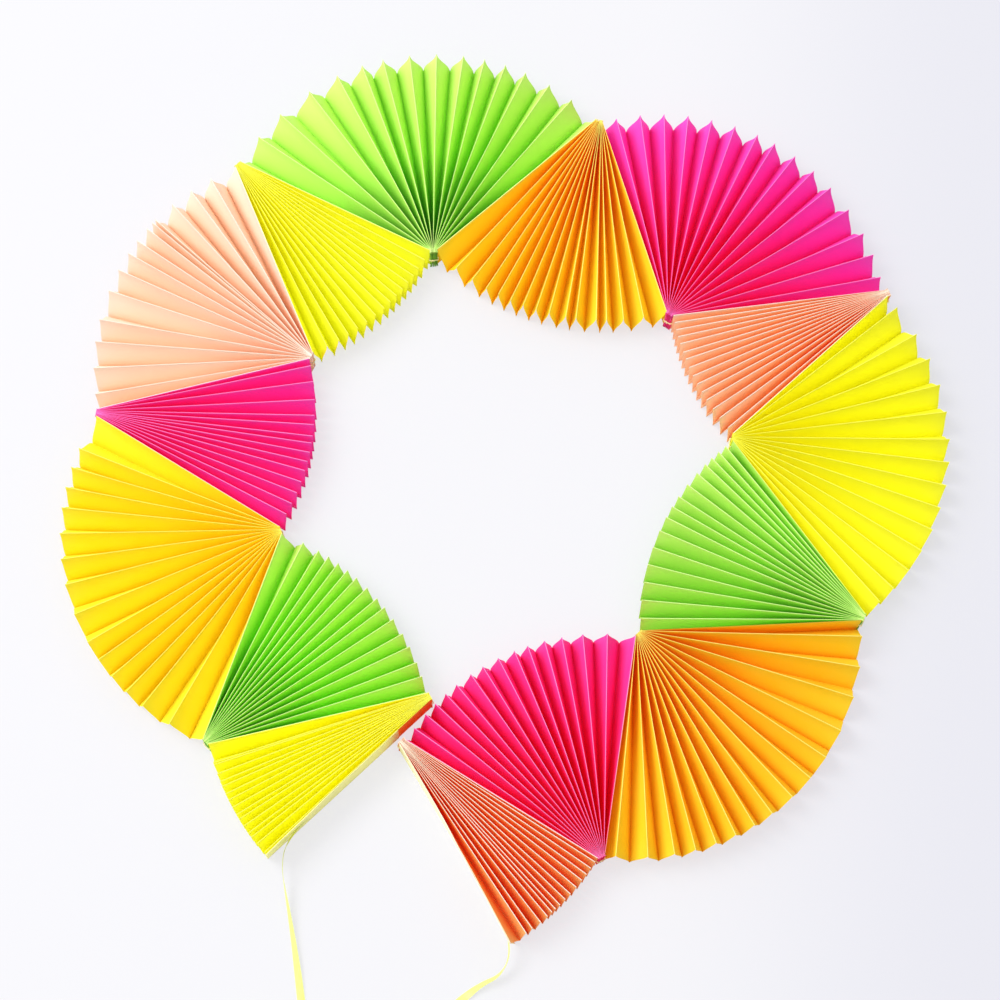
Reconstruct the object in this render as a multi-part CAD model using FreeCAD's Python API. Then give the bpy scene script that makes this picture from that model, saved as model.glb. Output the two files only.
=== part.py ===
import FreeCAD
import Part
import math
import os

Vector = FreeCAD.Vector
os.makedirs("parts", exist_ok=True)

# Driving dimensions, in millimetres and degrees.
sheet_length = 200.0     # each pleated sheet, from its bound end to its open rim
pleat_depth = 38.0       # width of one panel between two folds, and so the height of a fan
paper = 0.12             # thickness of the fan paper
leaf_pitch = 0.2         # spacing of the shut panels in a bound stack
bound_length = 4.0       # stretch of a stack that stays shut, at its bound end
rim_leaves = 1.5         # room between a rim and the bend of the fan glued to it, in leaves of a stack
glue_gap = 0.05          # room for the glue between two glued faces
eyelet_inset = 1.9       # middle of the tie hole, from the bound end
eyelet_radius = 0.9      # tie hole through all the panels of a stack
thread_radius = 0.6      # tie thread
thread_clearance = 0.06  # room between the tie thread and the stack
thread_corner = 0.8      # radius of the middle of the thread at each corner of its loop
knot_radius = 0.9        # knot of the tie thread
knot_offset = 1.2        # middle of the knot, to one side of the middle of the stack
card_thickness = 0.5     # stiff card on the outer face of each end fan
ribbon_width = 7.0       # flat ribbon at each end of the banner
ribbon_thickness = 0.25
ribbon_start = 60.0      # end of each ribbon, back from the rim on the face of its card
coil_inner = 31.0        # radius of the innermost turn of a put-away ribbon
coil_wall = 12.0         # width of the ring that a put-away ribbon fills
heading = 226.0          # direction of the banner's first side
pleats = 15              # full pleats of each sheet, which has two panels more than twice as many
spans = 3                # straight stretches that each twisted panel is made of

# One row for each fan, in the order of the banner: the paper, how far the fan opens in degrees,
# and how far each pleat stands open next to the others, as one hexadecimal digit a pleat.
# A row of pleats + 1 digits is a sheet with its outer folds down, so it starts and ends on half a pleat.
fans = (
    ("yellow", 30, "75355355453561c"),
    ("green", 57.5, "656565455444468"),
    ("gold", 102.5, "764444665554447"),
    ("pink", 46, "655554443547873"),
    ("peach", 82, "477686544216667"),
    ("yellow", 41.5, "765555544444455"),
    ("green", 112.5, "667654555444556"),
    ("gold", 65.5, "865444445363567"),
    ("pink", 99.5, "3555555455566553"),
    ("peach", 35, "444454555556674"),
    ("yellow", 97, "376666555555544"),
    ("green", 57.5, "3333455445666664"),
    ("gold", 101.5, "3667655544444562"),
    ("pink", 67, "876554554544454"),
    ("peach", 27.5, "355566554346758"),
)

half_stack = (pleats + 1) * leaf_pitch + paper / 2
open_length = sheet_length - bound_length


def fold_list(opening, spread):
    """The direction of each fold in radians, about the middle of the fan, and whether the first fold is up."""
    gaps = [int(digit, 16) for digit in spread]
    edges = [0.0]
    for gap in gaps:
        edges.append(edges[-1] + gap / sum(gaps))
    first_up = len(gaps) == pleats
    if first_up:
        folds = [edges[0]]
        for low, high in zip(edges[:-1], edges[1:]):
            folds.append((low + high) / 2)
            folds.append(high)
    else:
        folds = [edges[0], edges[1]]
        for low, high in zip(edges[1:-2], edges[2:-1]):
            folds.append((low + high) / 2)
            folds.append(high)
        folds.append(edges[-1])
    return [math.radians(opening) * (share - 0.5) for share in folds], first_up


def bend_points(folds):
    """Where each fold leaves the bound stack. The bends nest, so the leaves stay as far apart after them."""
    middle = (len(folds) - 1) / 2
    along = [0.0]
    for low, high in zip(folds[:-1], folds[1:]):
        along.append(along[-1] - leaf_pitch * math.tan((low + high) / 4))
    top = max(along)
    return [(x - top, (number - middle) * leaf_pitch) for number, x in enumerate(along)]


def crest_height(folds, number):
    """How high an upper fold stands at the rim, where its panels lean apart."""
    near = [folds[max(number - 1, 0)], folds[min(number + 1, len(folds) - 1)]]
    wide = open_length * (near[1] - near[0]) / 2
    return math.sqrt(pleat_depth ** 2 - wide ** 2)


def fan_stations(folds, first_up):
    """For each station along the sheet, one row a fold: its place, its sideways direction and its height."""
    bends = bend_points(folds)
    stations = [[] for station in range(2 + spans)]
    for number, (angle, (x, y)) in enumerate(zip(folds, bends)):
        is_up = (number % 2 == 0) == first_up
        reach = open_length - x
        half = math.tan(angle / 2)
        outward = Vector(math.cos(angle), math.sin(angle), 0)
        side = Vector(-math.sin(angle), math.cos(angle), 0)
        drop = pleat_depth - crest_height(folds, number) if 0 < number < len(folds) - 1 else 0.0
        places = [
            (Vector(-bound_length, y, 0), Vector(0, 1, 0), 0.0),
            (Vector(x, y, 0), Vector(-half, 1, 0), 0.0),
        ]
        for span in range(1, spans + 1):
            share = span / spans
            places.append((Vector(x, y, 0) + outward * (reach * share), side, drop * share))
        for station, (place, sideways, lower) in zip(stations, places):
            height = pleat_depth - lower if is_up else 0.0
            station.append((place, sideways, height))
    return stations


def sheet_outline(station, first_up):
    """The two faces of the sheet at one station, as two lists of points that go from edge to edge."""
    half = leaf_pitch / 2
    skin = paper / 2
    owners = [(0, -half, 0.0 if first_up else pleat_depth)]
    for number, (place, sideways, height) in enumerate(station):
        level = height - skin if height > 0 else skin
        owners.append((number, -half, level))
        owners.append((number, half, level))
    owners.append((len(station) - 1, half, 0.0 if first_up else pleat_depth))
    flat = []
    across = 0.0
    for index, (number, offset, level) in enumerate(owners):
        if index > 1 and index < len(owners) - 1:
            if offset > 0:
                across += leaf_pitch
            else:
                here = station[number]
                before = station[number - 1]
                chord = (here[0] - here[1] * half) - (before[0] + before[1] * half)
                across += chord.Length
        flat.append((across, level))
    one = []
    other = []
    for index, (number, offset, level) in enumerate(owners):
        normals = []
        for start, end in ((index - 1, index), (index, index + 1)):
            if start >= 0 and end < len(owners):
                du = flat[end][0] - flat[start][0]
                dz = flat[end][1] - flat[start][1]
                size = math.hypot(du, dz)
                normals.append((-dz / size, du / size))
        if len(normals) == 1:
            normals = normals * 2
        dot = normals[0][0] * normals[1][0] + normals[0][1] * normals[1][1]
        shift_u = skin * (normals[0][0] + normals[1][0]) / (1 + dot)
        shift_z = skin * (normals[0][1] + normals[1][1]) / (1 + dot)
        place, sideways, height = station[number]
        one.append(place + sideways * (offset + shift_u) + Vector(0, 0, level + shift_z))
        other.append(place + sideways * (offset - shift_u) + Vector(0, 0, level - shift_z))
    return one, other


def fan_solid(opening, spread):
    """One pleated sheet, bound end on the -X side, fanned out towards +X, as one closed solid."""
    folds, first_up = fold_list(opening, spread)
    stations = fan_stations(folds, first_up)
    outlines = [sheet_outline(station, first_up) for station in stations]
    points = []
    index = {}
    for number, outline in enumerate(outlines):
        for face in (0, 1):
            for place, point in enumerate(outline[face]):
                index[(number, face, place)] = len(points)
                points.append(point)
    count = len(outlines[0][0])
    facets = []

    def quad(a, b, c, d, first_diagonal):
        if first_diagonal:
            facets.append((a, b, c))
            facets.append((a, c, d))
        else:
            facets.append((a, b, d))
            facets.append((b, c, d))

    for number in range(len(outlines) - 1):
        for place in range(count - 1):
            rises = outlines[number][0][place + 1].z > outlines[number][0][place].z
            for face in (0, 1):
                ring = [
                    index[(number, face, place)],
                    index[(number, face, place + 1)],
                    index[(number + 1, face, place + 1)],
                    index[(number + 1, face, place)],
                ]
                if face == 0:
                    quad(ring[0], ring[1], ring[2], ring[3], not rises)
                else:
                    quad(ring[1], ring[0], ring[3], ring[2], rises)
        for place, flip in ((0, False), (count - 1, True)):
            ring = [
                index[(number, 0, place)],
                index[(number + 1, 0, place)],
                index[(number + 1, 1, place)],
                index[(number, 1, place)],
            ]
            if flip:
                ring = ring[::-1]
            quad(ring[0], ring[1], ring[2], ring[3], True)
    for number, flip in ((0, True), (len(outlines) - 1, False)):
        for place in range(count - 1):
            ring = [
                index[(number, 0, place)],
                index[(number, 0, place + 1)],
                index[(number, 1, place + 1)],
                index[(number, 1, place)],
            ]
            if flip:
                ring = ring[::-1]
            quad(ring[0], ring[1], ring[2], ring[3], True)
    shell = Part.Shape()
    shell.makeShapeFromMesh((points, facets), 0.0005)
    solid = Part.makeSolid(shell)
    if solid.Volume < 0:
        solid.reverse()
    solid = solid.removeSplitter()
    eyelet = Part.makeCylinder(
        eyelet_radius,
        4 * half_stack,
        Vector(eyelet_inset - bound_length, -2 * half_stack, pleat_depth / 2),
        Vector(0, 1, 0),
    )
    return solid.cut(eyelet)


def tie_solid():
    """The thread of one stack: a closed loop through the eyelet and round the bound end, with its knot."""
    left = -bound_length - thread_clearance - knot_radius
    right = eyelet_inset - bound_length
    wide = half_stack + thread_clearance + thread_radius
    middle = pleat_depth / 2
    turn = thread_corner
    runs = (
        (Vector(left + turn, -wide, middle), Vector(1, 0, 0), right - left - 2 * turn, Vector(0, 1, 0)),
        (Vector(right, -wide + turn, middle), Vector(0, 1, 0), 2 * wide - 2 * turn, Vector(-1, 0, 0)),
        (Vector(right - turn, wide, middle), Vector(-1, 0, 0), right - left - 2 * turn, Vector(0, -1, 0)),
        (Vector(left, wide - turn, middle), Vector(0, -1, 0), 2 * wide - 2 * turn, Vector(1, 0, 0)),
    )
    edges = []
    for start, along, length, inward in runs:
        end = start + along * length
        edges.append(Part.makeLine(start, end))
        centre = end + inward * turn
        corner = centre + (along - inward) * (turn * math.sqrt(0.5))
        last = centre + along * turn
        edges.append(Part.Arc(end, corner, last).toShape())
    wire = Part.Wire(edges)
    start, along, length, inward = runs[0]
    profile = Part.Wire([Part.makeCircle(thread_radius, start, along)])
    loop = wire.makePipeShell([profile], True, False)
    knot = Part.makeSphere(knot_radius, Vector(left, knot_offset, middle), Vector(0, 1, 0))
    return loop.fuse(knot).removeSplitter()


def side_of(folds, last):
    """Where the glued face of an outer panel starts at its bend, its run from there, and the way that it faces."""
    bends = bend_points(folds)
    angle = folds[-1] if last else folds[0]
    x, y = bends[-1] if last else bends[0]
    turn = 1 if last else -1
    facing = Vector(-math.sin(angle) * turn, math.cos(angle) * turn, 0)
    start = Vector(x, y, 0) + facing * (leaf_pitch / 2 + paper / 2)
    return start, Vector(math.cos(angle), math.sin(angle), 0) * (open_length - x), facing


def lay_out():
    """Each fan's placement, and the two free outer faces of the banner, as (start, run, facing)."""
    placements = []
    ends = []
    bend = Vector(0, 0, 0)
    ray = heading
    for number, (colour, opening, spread) in enumerate(fans):
        clockwise = number % 2 == 0
        folds, first_up = fold_list(opening, spread[::-1] if clockwise else spread)
        entry, entry_run, entry_facing = side_of(folds, clockwise)
        leave, leave_run, leave_facing = side_of(folds, not clockwise)
        local = math.degrees(math.atan2(entry_run.y, entry_run.x))
        rotation = FreeCAD.Rotation(Vector(0, 0, 1), ray - local)
        shift = bend - rotation.multVec(entry + entry_facing * (glue_gap / 2))
        placement = FreeCAD.Placement(shift, rotation)
        placements.append(placement)
        if number == 0:
            facing = rotation.multVec(entry_facing)
            ends.append((placement.multVec(entry), rotation.multVec(entry_run), facing))
        if number == len(fans) - 1:
            facing = rotation.multVec(leave_facing)
            ends.append((placement.multVec(leave), rotation.multVec(leave_run), facing))
        run = rotation.multVec(leave_run)
        past_rim = run * (1 + rim_leaves * leaf_pitch / run.Length)
        bend = placement.multVec(leave + leave_facing * (glue_gap / 2)) + past_rim
        ray = math.degrees(math.atan2(-run.y, -run.x))
    return placements, ends


def card_solid(start, run, facing):
    """The stiff card on a free outer face, from the bend to the rim."""
    near = start + facing * glue_gap
    far = near + run
    corners = [near, far, far + facing * card_thickness, near + facing * card_thickness, near]
    return Part.Face(Part.makePolygon(corners)).extrude(Vector(0, 0, pleat_depth))


def rounded_route(points):
    """Points along straight runs joined by tangent arcs, each arc as large as its two runs allow."""
    line = [points[0]]
    radii = []
    for before, point, after in zip(points[:-2], points[1:-1], points[2:]):
        back = before - point
        on = after - point
        turn = math.pi - back.getAngle(on)
        run = 0.45 * min(back.Length, on.Length)
        back.normalize()
        on.normalize()
        radius = run / math.tan(turn / 2)
        radii.append(radius)
        centre = point + (back + on) * (radius / math.cos(turn / 2) / (back + on).Length)
        start = point + back * run
        first = start - centre
        second = point + on * run - centre
        steps = max(2, int(math.degrees(turn) / 6) + 1)
        for step in range(steps + 1):
            share = step / steps
            mix = first * math.sin((1 - share) * turn) + second * math.sin(share * turn)
            line.append(centre + mix * (1 / math.sin(turn)))
    line.append(points[-1])
    return line, radii


def ribbon_solid(line, leans):
    """A flat ribbon along a line. A lean of 0 stands it on its edge, and 90 lays it flat."""
    lengths = [0.0]
    for low, high in zip(line[:-1], line[1:]):
        lengths.append(lengths[-1] + (high - low).Length)
    points = []
    for number, point in enumerate(line):
        along = line[min(number + 1, len(line) - 1)] - line[max(number - 1, 0)]
        along.normalize()
        level = Vector(-along.y, along.x, 0)
        level.normalize()
        upright = along.cross(level)
        lean = math.radians(interpolate(leans, lengths[number]))
        wide = upright * math.cos(lean) + level * math.sin(lean)
        thick = along.cross(wide)
        low = (abs(wide.z) * ribbon_width + abs(thick.z) * ribbon_thickness) / 2
        middle = Vector(point.x, point.y, max(point.z, low))
        for u, v in ((-1, -1), (1, -1), (1, 1), (-1, 1)):
            points.append(middle + wide * (u * ribbon_width / 2) + thick * (v * ribbon_thickness / 2))
    facets = [(0, 2, 1), (0, 3, 2)]
    for number in range(len(line) - 1):
        base = 4 * number
        for side in range(4):
            a = base + side
            b = base + (side + 1) % 4
            facets.append((a, b, b + 4))
            facets.append((a, b + 4, a + 4))
    last = 4 * (len(line) - 1)
    facets.append((last, last + 1, last + 2))
    facets.append((last, last + 2, last + 3))
    shell = Part.Shape()
    shell.makeShapeFromMesh((points, facets), 0.0005)
    solid = Part.makeSolid(shell)
    if solid.Volume < 0:
        solid.reverse()
    return solid.removeSplitter(), lengths[-1]


def interpolate(table, at):
    """The value at a length, from (length, value) rows in order."""
    for (low, first), (high, second) in zip(table[:-1], table[1:]):
        if at < high:
            return first + (second - first) * max(at - low, 0) / (high - low)
    return table[-1][1]


# Build
placements, ends = lay_out()
nodes = []
for number, ((colour, opening, spread), placement) in enumerate(zip(fans, placements)):
    clockwise = number % 2 == 0
    fan = fan_solid(opening, spread[::-1] if clockwise else spread)
    tie = tie_solid()
    fan.Placement = placement.multiply(fan.Placement)
    tie.Placement = placement.multiply(tie.Placement)
    nodes.append((f"fan_{number + 1:02d}", fan))
    nodes.append((f"tie_{number + 1:02d}", tie))
for name, (start, run, facing) in zip(("end_card_a", "end_card_b"), ends):
    nodes.append((name, card_solid(start, run, facing)))

# One row for each ribbon: how far back from the rim it comes off its card, then its free run as sideways
# and forward steps from the rim, with a height, then the side that its unseen length is wound to (1 is left),
# and how it leans on the way, as lengths and degrees.
ribbons = (
    (
        "ribbon_a",
        38,
        (
            (15, 8.5, 19),
            (13.9, -7, 16),
            (15.6, -19.5, 12),
            (22, -47, 5),
            (28.9, -78, 1),
            (37, -119.5, 0),
            (40.5, -143, 3),
            (41, -169, 3),
        ),
        -1,
        ((0, 0), (22, 0), (68, 3), (102, 25), (134, 45), (175, 85), (185, 85), (211, 0)),
    ),
    (
        "ribbon_b",
        16,
        (
            (-4.2, -4, 18),
            (-5.4, -18, 13),
            (-13, -29.5, 8),
            (-27, -36, 3.5),
            (-42, -48.5, 0),
            (-58.5, -62.5, 3),
            (-68, -78, 3),
        ),
        1,
        ((0, 0), (44, 0), (60, 8), (80, 8), (95, 30), (110, 45), (125, 80), (130, 80), (150, 0)),
    ),
)
for (name, peel, steps, side, leans), (start, run, facing) in zip(ribbons, ends):
    outside = 2 * glue_gap + card_thickness + ribbon_thickness / 2
    rim = start + run + facing * outside + Vector(0, 0, pleat_depth / 2)
    along = run * (1 / run.Length)
    points = [rim - along * ribbon_start, rim - along * peel]
    for x, y, z in steps:
        points.append(Vector(rim.x + x, rim.y + y, z))
    line, radii = rounded_route(points)
    solid, length = ribbon_solid(line, leans)
    nodes.append((name, solid))
    inward = (points[-1] - points[-2]).cross(Vector(0, 0, -side))
    inward.normalize()
    middle = points[-1] + inward * (coil_inner + coil_wall + ribbon_thickness)
    middle.z = 0
    wall = Part.makeCylinder(coil_inner + coil_wall, ribbon_width, middle)
    nodes.append((name + "_coil", wall.cut(Part.makeCylinder(coil_inner, ribbon_width, middle))))
    print(name, "length", round(length, 1), "radii", [round(radius, 1) for radius in radii])

box = None
for name, shape in nodes:
    if not name.startswith("ribbon"):
        bounds = shape.BoundBox
        if box is None:
            box = bounds
        else:
            box.add(bounds)
shift = Vector(-(box.XMin + box.XMax) / 2, -(box.YMin + box.YMax) / 2, -box.ZMin)
for name, shape in nodes:
    solid = shape.Solids[0]
    solid.translate(shift)
    solid.exportStep("parts/" + name + ".step")
    print(name, "faces", len(solid.Faces), "volume", round(solid.Volume, 1), "valid", solid.isValid())
print("size", round(box.XLength, 1), round(box.YLength, 1), round(box.ZLength, 1))
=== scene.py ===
# %% [markdown]
# # A banner of pleated paper fans
# Fifteen sheets of bright paper are pleated, tied at one end and glued side to side. The banner opens into a ring
# that lies on a table. Each end has a stiff card, and a flat ribbon to hang the banner by.
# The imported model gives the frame, and every piece made here stands in the place of one of its nodes.

# %% Setup
import math

import bpy
import numpy as np
from mathutils import Matrix, Vector


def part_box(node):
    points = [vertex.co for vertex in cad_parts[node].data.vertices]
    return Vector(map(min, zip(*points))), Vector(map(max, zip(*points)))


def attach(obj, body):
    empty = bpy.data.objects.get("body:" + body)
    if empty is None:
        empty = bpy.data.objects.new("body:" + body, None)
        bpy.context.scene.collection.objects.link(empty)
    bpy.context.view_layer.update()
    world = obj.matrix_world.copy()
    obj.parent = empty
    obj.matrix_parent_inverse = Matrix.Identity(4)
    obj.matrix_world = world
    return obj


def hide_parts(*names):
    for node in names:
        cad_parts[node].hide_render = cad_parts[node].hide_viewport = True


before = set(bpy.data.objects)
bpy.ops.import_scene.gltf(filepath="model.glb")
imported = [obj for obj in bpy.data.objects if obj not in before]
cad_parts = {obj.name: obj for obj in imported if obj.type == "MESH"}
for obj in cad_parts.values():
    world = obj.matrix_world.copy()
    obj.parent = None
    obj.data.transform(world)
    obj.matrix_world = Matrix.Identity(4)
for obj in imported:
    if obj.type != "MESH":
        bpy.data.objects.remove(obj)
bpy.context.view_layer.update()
mm = 0.001

# %% [markdown]
# ## Sizes
# These are the banner's own sizes, in metres. A fan is one long sheet with fifteen full pleats, and a panel more at
# each side, which is glued to the next fan. The fans could all be copies of one, but real ones open unevenly. So each
# row gives the paper, how far the fan opens in degrees, and how wide each pleat stands next to the others, as one
# hexadecimal digit a pleat. A fan with sixteen digits has its outer folds down.

# %% Sizes of the sheets and the opening of the fans
sheet_length = 200 * mm
pleat_depth = 38 * mm
paper = 0.12 * mm
leaf_pitch = 0.2 * mm
bound_length = 4 * mm
open_length = sheet_length - bound_length
pleats = 15
fans = (
    ("yellow", 30, "75355355453561c"),
    ("green", 57.5, "656565455444468"),
    ("gold", 102.5, "764444665554447"),
    ("pink", 46, "655554443547873"),
    ("peach", 82, "477686544216667"),
    ("yellow", 41.5, "765555544444455"),
    ("green", 112.5, "667654555444556"),
    ("gold", 65.5, "865444445363567"),
    ("pink", 99.5, "3555555455566553"),
    ("peach", 35, "444454555556674"),
    ("yellow", 97, "376666555555544"),
    ("green", 57.5, "3333455445666664"),
    ("gold", 101.5, "3667655544444562"),
    ("pink", 67, "876554554544454"),
    ("peach", 27.5, "355566554346758"),
)
print("fans", len(fans), "that open", sum(fan[1] for fan in fans), "degrees in all")

# %% [markdown]
# ## The camera
# The banner is seen almost from straight above, leaning a little towards its near side, through a long lens. A
# camera could be aimed with a Track To constraint, but that can't roll it. So the camera's three directions are
# worked out from a lean, a swing and a small roll, and set as its matrix.

# %% Camera
camera_lean = math.radians(15.446)
camera_roll = math.radians(2.824)
camera_swing = math.radians(-0.108)
camera_distance = 2.3438
camera_target = Vector((-0.00635, -0.02145, 0.038))
camera_lens = 94.1
camera_sensor = 36

swing = Matrix.Rotation(camera_swing, 3, "Z")
looking = swing @ Vector((0, math.sin(camera_lean), -math.cos(camera_lean)))
upward = swing @ Vector((0, math.cos(camera_lean), math.sin(camera_lean)))
rightward = swing @ Vector((1, 0, 0))
across_view = rightward * math.cos(camera_roll) + upward * math.sin(camera_roll)
up_view = upward * math.cos(camera_roll) - rightward * math.sin(camera_roll)
camera_data = bpy.data.cameras.new("camera")
camera_data.sensor_width = camera_sensor
camera_data.lens = camera_lens
camera = bpy.data.objects.new("camera", camera_data)
bpy.context.scene.collection.objects.link(camera)
axes = Matrix((across_view, up_view, -looking)).transposed()
camera.matrix_world = Matrix.Translation(camera_target - looking * camera_distance) @ axes.to_4x4()
bpy.context.scene.camera = camera
print("camera at", [round(v, 3) for v in camera.matrix_world.translation])

# %% [markdown]
# ## Where the fans lie
# Each fan is glued by its outer panels to the fans beside it, the other way round. The fans could be laid by hand,
# but then two glued panels would never quite meet. So each fan's place follows from the one before it: its glued
# side starts at a bend beside the tied stack, and the next bend is just past the end of this fan's run.
# A place on the table is one complex number, with X as its real part and Y as its imaginary part, so a turn is one
# multiplication. The folds of a fan leave its stack at bends that nest in each other.

# %% Folds of a fan and where they leave the stack
def fold_directions(opening, spread):
    """The direction of each fold about the fan's middle, and whether the outer folds are up.

    The pleat edges share out the opening as the digits say, and a valley fold halves each pleat."""
    gaps = np.array([int(digit, 16) for digit in spread], float)
    edges = np.concatenate([[0.0], np.cumsum(gaps)]) / gaps.sum()
    outer_up = len(gaps) == pleats
    inner = edges if outer_up else edges[1:-1]
    woven = np.empty(2 * len(inner) - 1)
    woven[0::2] = inner
    woven[1::2] = (inner[:-1] + inner[1:]) / 2
    shares = woven if outer_up else np.concatenate([[0.0], woven, [1.0]])
    return math.radians(opening) * (shares - 0.5), outer_up


def bends(folds):
    """Where each fold leaves the stack: one leaf apart sideways, and stepped back so that the leaves nest."""
    steps = leaf_pitch * np.tan((folds[:-1] + folds[1:]) / 4)
    along = -np.concatenate([[0.0], np.cumsum(steps)])
    across = (np.arange(len(folds)) - (len(folds) - 1) / 2) * leaf_pitch
    return along - along.max() + 1j * across


folds, outer_up = fold_directions(*fans[0][1:])
print("folds of the first fan", len(folds), "with bends that step back", round(-bends(folds).real.min() / mm, 3), "mm")

# %% The glued sides and the layout of the ring
heading = 226.0
banner_middle = complex(58.912, 205.890) * mm
rim_leaves = 1.5
glue_gap = 0.05 * mm


def glued_side(folds, last):
    """The glued face of an outer panel: where it starts, its run to the rim, and the way it faces."""
    end = -1 if last else 0
    direction = np.exp(1j * folds[end])
    facing = direction * (1j if last else -1j)
    place = bends(folds)[end]
    return place + facing * (leaf_pitch + paper) / 2, direction * (open_length - place.real), facing


def lay_out():
    """Each fan's folds and placement, and the two free faces of the banner as (start, run, facing)."""
    laid = []
    free_faces = []
    bend = -banner_middle
    ray = np.exp(1j * math.radians(heading))
    for number, (colour, opening, spread) in enumerate(fans):
        clockwise = number % 2 == 0
        folds, outer_up = fold_directions(opening, spread[::-1] if clockwise else spread)
        entry, entry_run, entry_facing = glued_side(folds, clockwise)
        leave, leave_run, leave_facing = glued_side(folds, not clockwise)
        turn = ray * abs(entry_run) / entry_run
        shift = bend - turn * (entry + entry_facing * glue_gap / 2)
        laid.append((colour, folds, outer_up, turn, shift))
        if number == 0:
            free_faces.append((shift + turn * entry, turn * entry_run, turn * entry_facing))
        if number == len(fans) - 1:
            free_faces.append((shift + turn * leave, turn * leave_run, turn * leave_facing))
        run = turn * leave_run
        past_rim = 1 + rim_leaves * leaf_pitch / abs(run)
        bend = shift + turn * (leave + leave_facing * glue_gap / 2) + run * past_rim
        ray = -run / abs(run)
    return laid, free_faces


laid, free_faces = lay_out()
for number in (0, 7, 14):
    low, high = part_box(f"fan_{number + 1:02d}")
    apex = laid[number][4]
    print(f"fan {number + 1} apex", apex, "node box", [round(v, 3) for v in (*low, *high)])

# %% [markdown]
# ## A thin sheet as a closed skin
# Paper, card and ribbon are all thin sheets with two faces and a cut edge. A flat surface with a Solidify modifier
# would do, but its corners swell where a sheet is folded sharply. So each sheet is worked out as its middle surface
# on a grid. This helper sets two faces half a thickness off it and closes the four edges.

# %% Directions on a grid
def unit(vectors):
    """Each vector divided by its length."""
    return vectors / np.maximum(np.linalg.norm(vectors, axis=-1, keepdims=True), 1e-12)


def tangents(grid, axis):
    """The direction of a grid line at each point: the mean of the unit steps before and after it."""
    steps = unit(np.diff(grid, axis=axis))
    total = np.zeros_like(grid)
    if axis == 0:
        total[:-1] += steps
        total[1:] += steps
    else:
        total[:, :-1] += steps
        total[:, 1:] += steps
    return unit(total)


print("a unit step", unit(np.array([3.0, 4.0, 0.0])))

# %% A piece from its corners and faces
cut_edge_angle = math.radians(75)


def new_piece(name, vertices, quads, place_on_sheet=None, marks=None):
    """An object at the origin whose mesh has these corners and four-sided faces, smooth but for its cut edges.

    The place of each corner on the flat sheet becomes the UV map, and each mark a number at each corner."""
    mesh = bpy.data.meshes.new(name)
    mesh.from_pydata(vertices.tolist(), [], quads.tolist())
    if place_on_sheet is not None:
        layer = mesh.uv_layers.new(name="sheet")
        layer.data.foreach_set("uv", place_on_sheet[quads.ravel()].ravel())
    for mark, values in (marks or {}).items():
        mesh.attributes.new(mark, "FLOAT", "POINT").data.foreach_set("value", values)
    mesh.shade_smooth()
    mesh.set_sharp_from_angle(angle=cut_edge_angle)
    piece = bpy.data.objects.new(name, mesh)
    bpy.context.scene.collection.objects.link(piece)
    return piece


print("an edge is sharp from", round(math.degrees(cut_edge_angle)), "degrees")


# %% A sheet with two faces and a cut edge
def sheet_piece(name, middle, thickness, place_on_sheet, marks=None):
    """A sheet whose faces stand half its thickness to each side of the middle surface middle[station, column].

    The normal at a point is the cross product of the grid's two directions there."""
    normal = unit(np.cross(tangents(middle, 1), tangents(middle, 0)))
    stations, columns = middle.shape[:2]
    front = (middle + normal * thickness / 2).reshape(-1, 3)
    back = (middle - normal * thickness / 2).reshape(-1, 3)
    one = np.arange(stations * columns).reshape(stations, columns)
    two = one + stations * columns

    def strip(a, b, c, d):
        """One face a row, from four arrays of its corners."""
        return np.stack([a.ravel(), b.ravel(), c.ravel(), d.ravel()], axis=1)

    quads = np.concatenate([
        strip(one[:-1, :-1], one[:-1, 1:], one[1:, 1:], one[1:, :-1]),
        strip(two[:-1, :-1], two[1:, :-1], two[1:, 1:], two[:-1, 1:]),
        strip(two[0, :-1], two[0, 1:], one[0, 1:], one[0, :-1]),
        strip(one[-1, :-1], one[-1, 1:], two[-1, 1:], two[-1, :-1]),
        strip(two[:-1, 0], one[:-1, 0], one[1:, 0], two[1:, 0]),
        strip(one[:-1, -1], two[:-1, -1], two[1:, -1], one[1:, -1]),
    ])
    both = {mark: np.tile(values.ravel(), 2) for mark, values in (marks or {}).items()}
    flat = np.tile(place_on_sheet.reshape(-1, 2), (2, 1))
    return new_piece(name, np.concatenate([front, back]), quads, flat, both)


def on_table(plan, height):
    """Points in space from complex places on the table and their heights."""
    return np.stack([plan.real, plan.imag, np.broadcast_to(height, plan.shape)], axis=-1)


print("a place on the table", on_table(np.array([0.1 + 0.2j]), 0.0)[0])

# %% [markdown]
# ## The ribbons
# A ribbon starts on the outer face of its card, comes off near the rim, and runs over the table under its own
# weight. Half a metre is a usual length for such a tie. The stretch that isn't needed is wound on its edge into a
# neat ring. A curve with a bevel could draw it, but the angle at which it leans would be hard to set. So its line is
# one smooth spline, and the flat ribbon is a sheet along the spline's points that leans by a table of angles.

# %% The ring of spare ribbon
ribbon_width = 7 * mm
ribbon_thickness = 0.25 * mm
coil_inner = 31 * mm
coil_wall = 12 * mm
ring_step = 15.0
ring_turn = 570
ring_inset = 0.4 * mm


def ring_points(before, last, side):
    """A spiral from the end of a route: its radius shrinks by one ribbon width a turn, with 24 points a turn."""
    direction = (last - before) / abs(last - before)
    inward = side * 1j * direction
    centre = last + inward * (coil_inner + coil_wall + ribbon_thickness)
    angle = np.radians(np.arange(ring_step, ring_turn, ring_step))
    radius = coil_inner + coil_wall - ring_inset - ribbon_width * angle / (2 * np.pi)
    return centre - inward * radius * np.exp(1j * side * angle)


print("control points in a ring", len(ring_points(0, mm, 1)))

# %% The line of a ribbon
card_thickness = 0.5 * mm
ribbon_start = 60 * mm


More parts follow.
